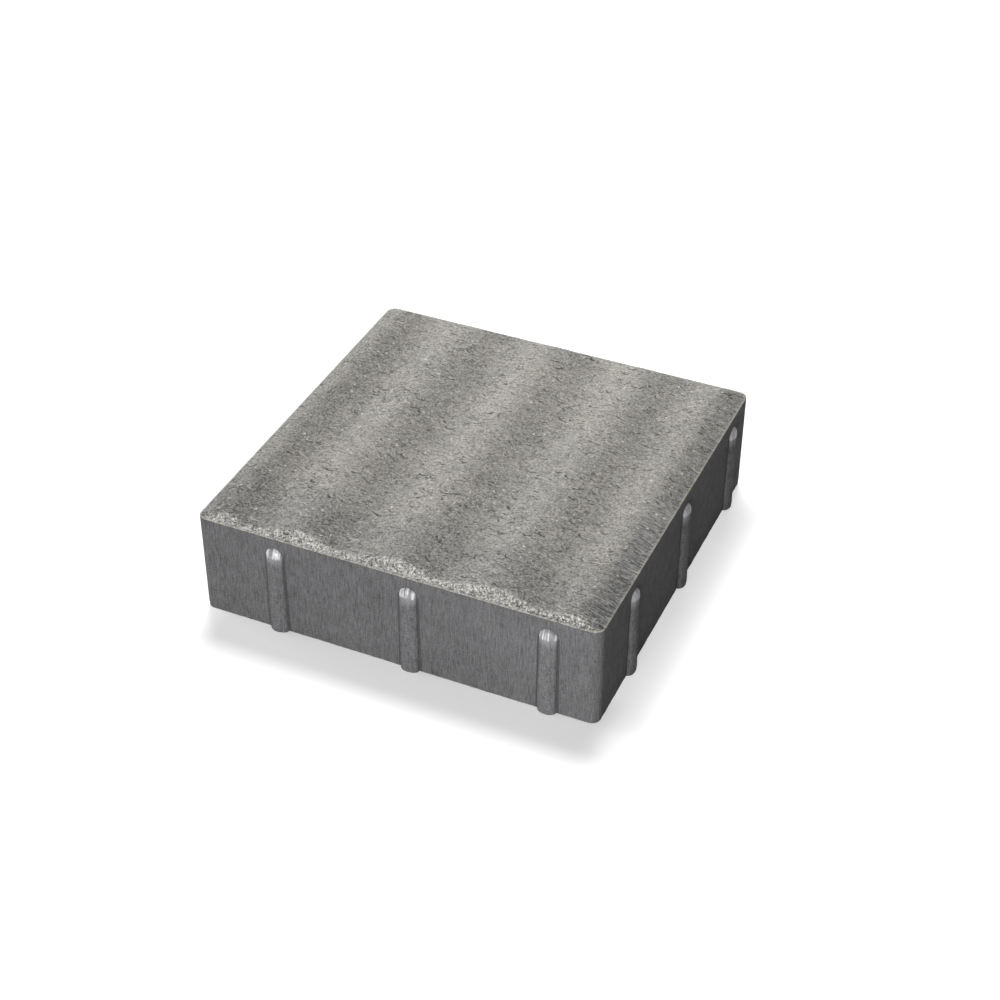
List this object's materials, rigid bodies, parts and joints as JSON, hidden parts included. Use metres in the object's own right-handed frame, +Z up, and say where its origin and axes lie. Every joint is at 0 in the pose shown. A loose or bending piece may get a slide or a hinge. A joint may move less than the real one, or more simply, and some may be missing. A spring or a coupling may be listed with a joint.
{
  "type": "concrete paving stone",
  "caption": "Square pressed-concrete paving stone with a wave-ribbed top, a sloped border and vertical spacer nibs on its sides.",
  "frame": {"origin": "centre of the flat underside", "axes": "+Z up out of the walking surface; the waves run along Y; +X to the right of the viewer who looks along +Y"},
  "size_m": [0.213, 0.213, 0.06],
  "materials": {
    "concrete": "pressed grey concrete: fine-grained top with small pits and pale grains, smoother moulded sides with vertical draw marks"
  },
  "bodies": {
    "root": {"paving_stone": "concrete"}
  },
  "joints": []
}
